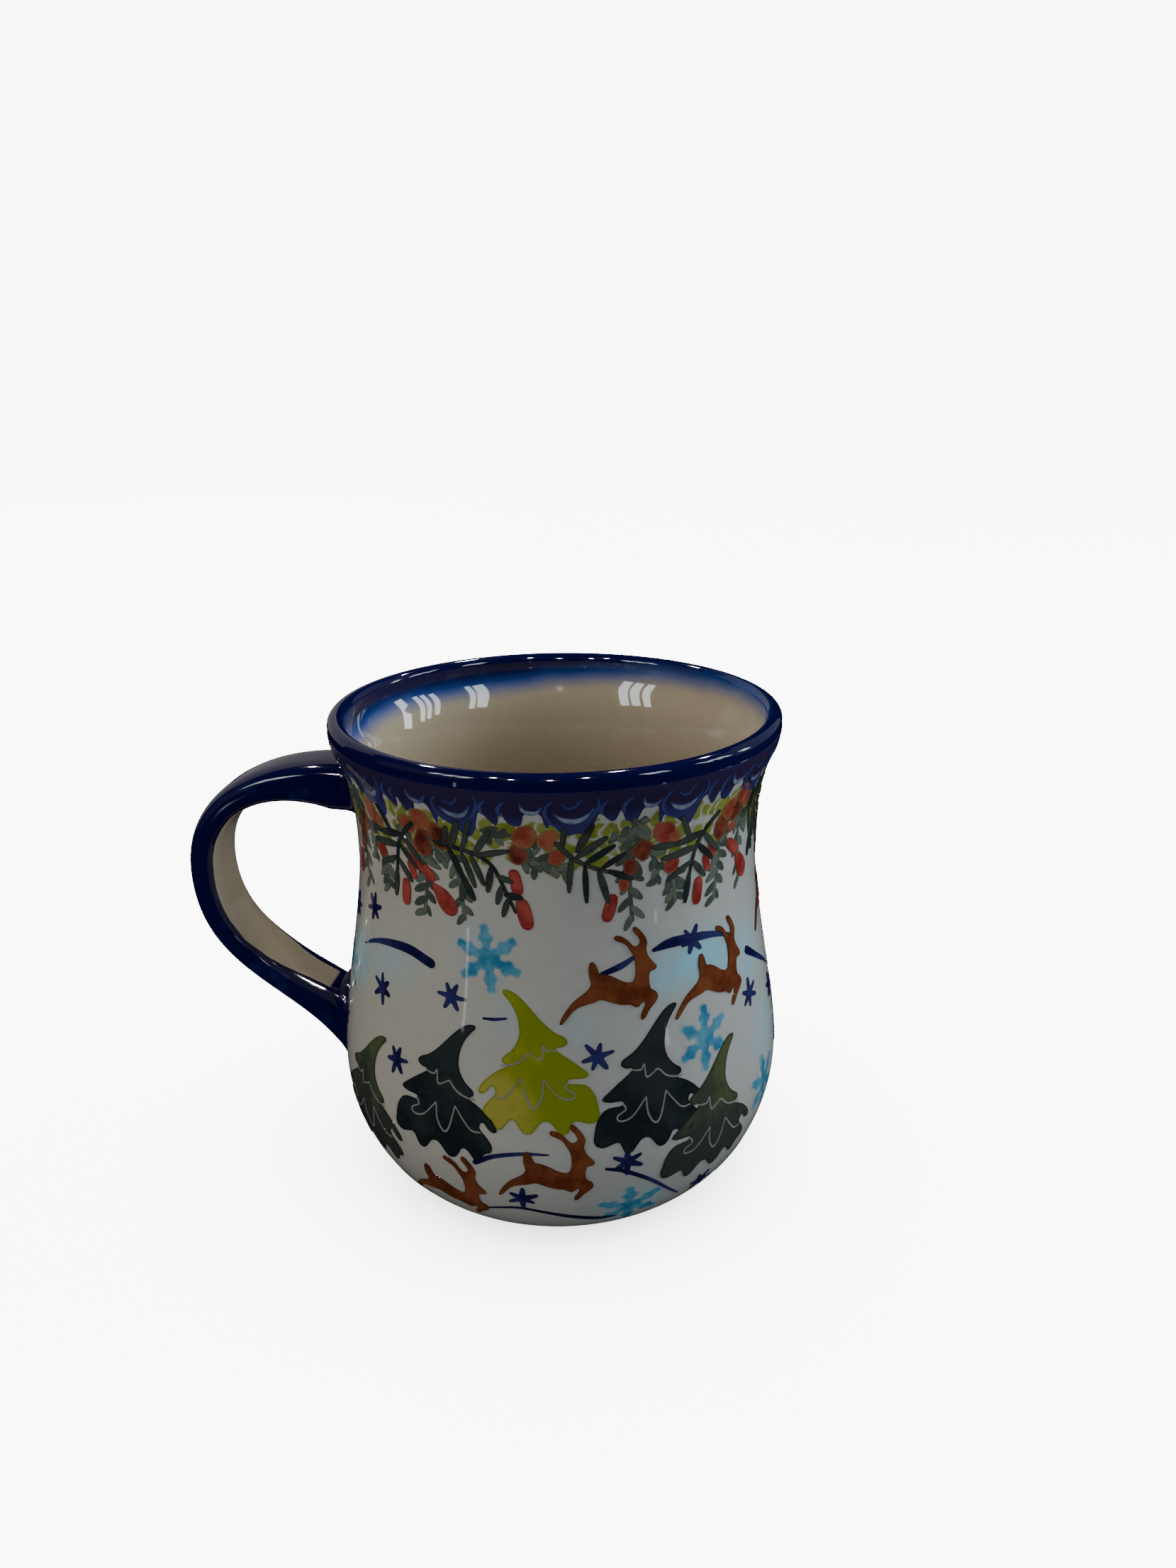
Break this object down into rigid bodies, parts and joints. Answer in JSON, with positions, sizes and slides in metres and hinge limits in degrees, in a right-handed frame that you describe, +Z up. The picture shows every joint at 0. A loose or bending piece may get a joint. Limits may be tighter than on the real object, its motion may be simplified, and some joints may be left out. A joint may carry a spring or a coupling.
{
  "type": "stoneware mug",
  "caption": "Waisted glazed stoneware drinking mug with a looped strap handle, for hot drinks; it stands on a foot ring.",
  "frame": {"origin": "on the vessel's axis at the plane the foot ring stands on, 0.8 mm below the recessed base panel", "axes": "+Z up along the vessel's axis, -X towards the handle, +Y to the right-hand side of someone who faces the handle"},
  "size_m": [0.1245, 0.0918, 0.0999],
  "materials": {
    "white_glaze": null,
    "navy_glaze": null
  },
  "bodies": {
    "root": {"mug_body": "white_glaze", "handle": "navy_glaze", "upper_handle_slip_joint": "navy_glaze", "lower_handle_slip_joint": "navy_glaze"}
  },
  "joints": []
}
